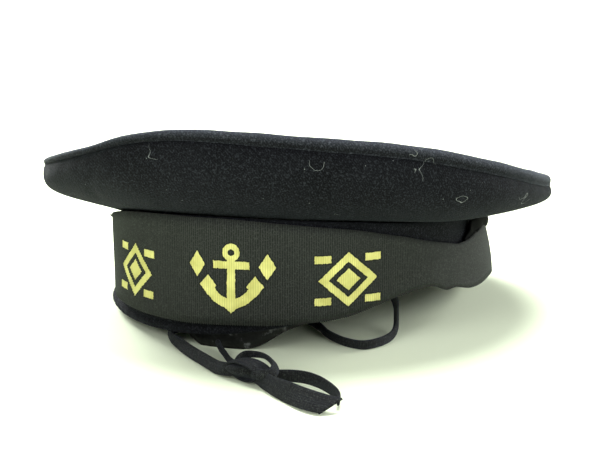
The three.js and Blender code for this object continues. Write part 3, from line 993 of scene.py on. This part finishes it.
# Headband with its rolled hem

def bandRadius(head, degrees, height):
    foot = max(head["fall"], 0) * headband["top"]
    t = min(max((height - foot) / (head["rise"] * headband["top"] - foot), 0), 1)
    swell = head["bulge"] * headband["wall"] * 4 * t * (1 - t)
    return headOval(degrees) * blend(head["hem"], head["neck"], t) + swell


def bandLoop(degrees):
    head = around(headband, degrees)
    top = head["rise"] * headband["top"]
    foot = max(head["fall"], 0) * headband["top"]
    roll = headband["hemRoll"]
    out, turn, spread = headband["hemBulge"]
    bulge = out * hump(degrees, turn, spread)
    outer = []
    for k in range(13):
        z = blend(top, foot + roll * 3.2, k / 12)
        r = bandRadius(head, degrees, z) + soft(degrees, z, 6, 4) * 0.25 * mm * (1 - k / 12)
        outer.append((r + bulge * (k / 12) ** 2, z))
    base = bandRadius(head, degrees, foot) + bulge
    roll *= 1 + 0.4 * hump(degrees, -58, 16)
    twist = math.sin(math.radians(degrees) * 83 + 3 * soft(degrees, 0, 6, 9)) * 0.12 * mm
    hem = []
    for k in range(13):
        a = math.radians(blend(75, -90, k / 12))
        r = base + (roll + twist) * math.cos(a) * 0.95
        hem.append((r, foot + roll * 1.5 + roll * 1.45 * math.sin(a)))
    hem.append((base - headband["wall"], foot + 0.07 * mm))
    inner = [(r - headband["wall"], z) for r, z in outer[::-1]]
    return outer + hem + inner


band = newPiece("headBand", spinSections(bandLoop, headband["turns"]), wool, ["headband"])


# Ribbon, with its ribs in the mesh

def ribbonTop(row, degrees):
    first, full = hatRibbon["endFrom"]
    climb = min(max((degrees - first) / (full - first), 0), 1)
    if degrees > full:
        climb = hump(degrees, full + 10, 22)
    return row["top"] * headband["top"] + hatRibbon["endRise"] * climb


def ribbonOff(row, t):
    return (row["flare"] * (1 - t) ** 3 + row["stand"] * t * t) * hatRibbon["reach"]


def ribbonLoop(degrees):
    row = around(hatRibbon, degrees)
    head = around(headband, degrees)
    wave = soft(degrees, 0, 5, 6) * 0.5 * mm
    rib = math.cos(math.radians(degrees) * ribCount) * hatRibbon["ribDepth"]
    top = ribbonTop(row, degrees) + wave * 0.4 + rib * 0.6
    foot = row["foot"] * headband["top"] + wave * 0.4 - rib * 0.9
    foot += hatRibbon["sideRise"] * hump(degrees, 103, 17)
    foot -= hatRibbon["dip"] * hump(degrees, 63.5, 4)
    corner = hatRibbon["corner"] * hump(degrees, -72, 5)
    loose = hatRibbon["endFlare"] * hump(degrees, 96, 16)
    tuck = hatRibbon["tuck"] * hump(degrees, -62, 15)
    outer = []
    inner = []
    for k in range(11):
        t = k / 10
        z = blend(top, foot, t)
        gap = hatRibbon["layer"] + headband["hemRoll"] * t + ribbonOff(row, t)
        r = bandRadius(head, degrees, z) + gap + hatRibbon["wall"]
        r += soft(degrees, z, 4, 7) * 0.45 * mm * (0.3 + t)
        r += corner * (1 - t) ** 12 + loose * (1 - t) ** 2 - tuck * t * t
        outer.append((r + rib, z))
        inner.append((r - hatRibbon["wall"] * 0.7 + rib, z))
    return outer + inner[::-1]


ribbonShape = spinSections(ribbonLoop, ribCount * hatRibbon["stepsPerRib"])
ribbon = newPiece("hatRibbon", ribbonShape, ribbonCloth, ["hat_ribbon"])


# End of the ribbon, which lies over its upper edge, darkened with painted shade

def tabLoop(degrees):
    row = around(hatRibbon, degrees)
    head = around(headband, degrees)
    foot = ribbonTop(row, degrees) - 1.6 * mm
    top = max(between(ribbonTab, degrees) * headband["top"], foot + 2.2 * mm)
    outer = []
    for k in range(9):
        z = blend(top, foot, k / 8)
        off = hatRibbon["reach"] * row["flare"] * (top - z) / (top - foot)
        fold = math.sin(math.radians(degrees) * 38 + z * 600) * 0.25 * mm
        lean = ribbonTab["lean"] * hump(degrees, 102, 15) * (1 - k / 8) ** 0.5
        outer.append((bandRadius(head, degrees, z) + ribbonTab["off"] + off * 0.4 + fold + lean, z))
    inner = [(r - hatRibbon["wall"], z) for r, z in outer[::-1]]
    return outer + inner


tabStart = ribbonTab["rows"][0][0]
tabSweep = ribbonTab["rows"][-1][0] - tabStart
tabShape = spinSections(tabLoop, ribbonTab["steps"], tabStart, tabSweep)
newPiece("ribbonTab", tabShape, tabCloth, ["ribbon_tab"])


# Leather sweatband inside the headband

def leatherLoop(degrees):
    row = around(sweatband, degrees)
    head = around(headband, degrees)
    foot = max(row["foot"] * sweatband["height"], 0.1 * mm)    # never below the table
    top = min(sweatband["height"], head["rise"] * headband["top"] - headband["wall"])
    out = min(head["neck"], head["hem"]) * headOval(degrees) - headband["wall"] - 0.4 * mm
    outer = []
    for k in range(11):
        z = blend(top, foot, k / 10)
        sag = soft(degrees, z, 9, 12) * 0.3 * mm
        outer.append((out - abs(sag), z))
    inner = [(r - sweatband["wall"], z) for r, z in outer[::-1]]
    return outer + inner


leatherShape = spinSections(leatherLoop, sweatband["turns"])
newPiece("sweatBand", leatherShape, leather, ["sweatband"])
print("band, ribbon and leather done")


# Plain pale floor and soft studio light

def makeFloor():
    bm = bmesh.new()
    bmesh.ops.create_grid(bm, x_segments=2, y_segments=2, size=60)
    mesh = bpy.data.meshes.new("floor")
    bm.to_mesh(mesh)
    bm.free()
    mesh.materials.append(floorFinish())
    floor = bpy.data.objects.new("floor", mesh)
    bpy.context.collection.objects.link(floor)


lamps = [
    {"name": "overhead", "kind": "SUN", "spot": (-0.06, 0.34, 1.0), "angle": 30, "power": 4.4},
    {"name": "backLeft", "kind": "AREA", "spot": (-1.1, 0.8, 0.68), "size": 0.6, "power": 58},
    {"name": "frontRight", "kind": "AREA", "spot": (1.3, -0.8, 0.6), "size": 0.9, "power": 12},
    {"name": "backRight", "kind": "AREA", "spot": (1.0, 1.1, 0.55), "size": 0.6, "power": 22},
    {"name": "front", "kind": "AREA", "spot": (-0.5, -1.3, 0.8), "size": 0.9, "power": 10},
]
aimPoint = Vector((0, 0, 0.04))
worldLight = {"colour": (1, 1, 1, 1), "strength": 0.2}


def makeLight():
    for lamp in lamps:
        data = bpy.data.lights.new(lamp["name"], lamp["kind"])
        data.energy = lamp["power"]
        if lamp["kind"] == "SUN":
            data.angle = math.radians(lamp["angle"])
        else:
            data.size = lamp["size"]
        holder = bpy.data.objects.new(lamp["name"], data)
        holder.location = lamp["spot"]
        holder.rotation_euler = (Vector(lamp["spot"]) - aimPoint).to_track_quat("Z", "Y").to_euler()
        bpy.context.collection.objects.link(holder)
    world = bpy.data.worlds.new("studio")
    world.use_nodes = True
    sky = world.node_tree.nodes["Background"]
    sky.inputs["Color"].default_value = worldLight["colour"]
    sky.inputs["Strength"].default_value = worldLight["strength"]
    bpy.context.scene.world = world
    bpy.context.scene.view_settings.view_transform = "Standard"


makeFloor()
makeLight()
print("stage done")
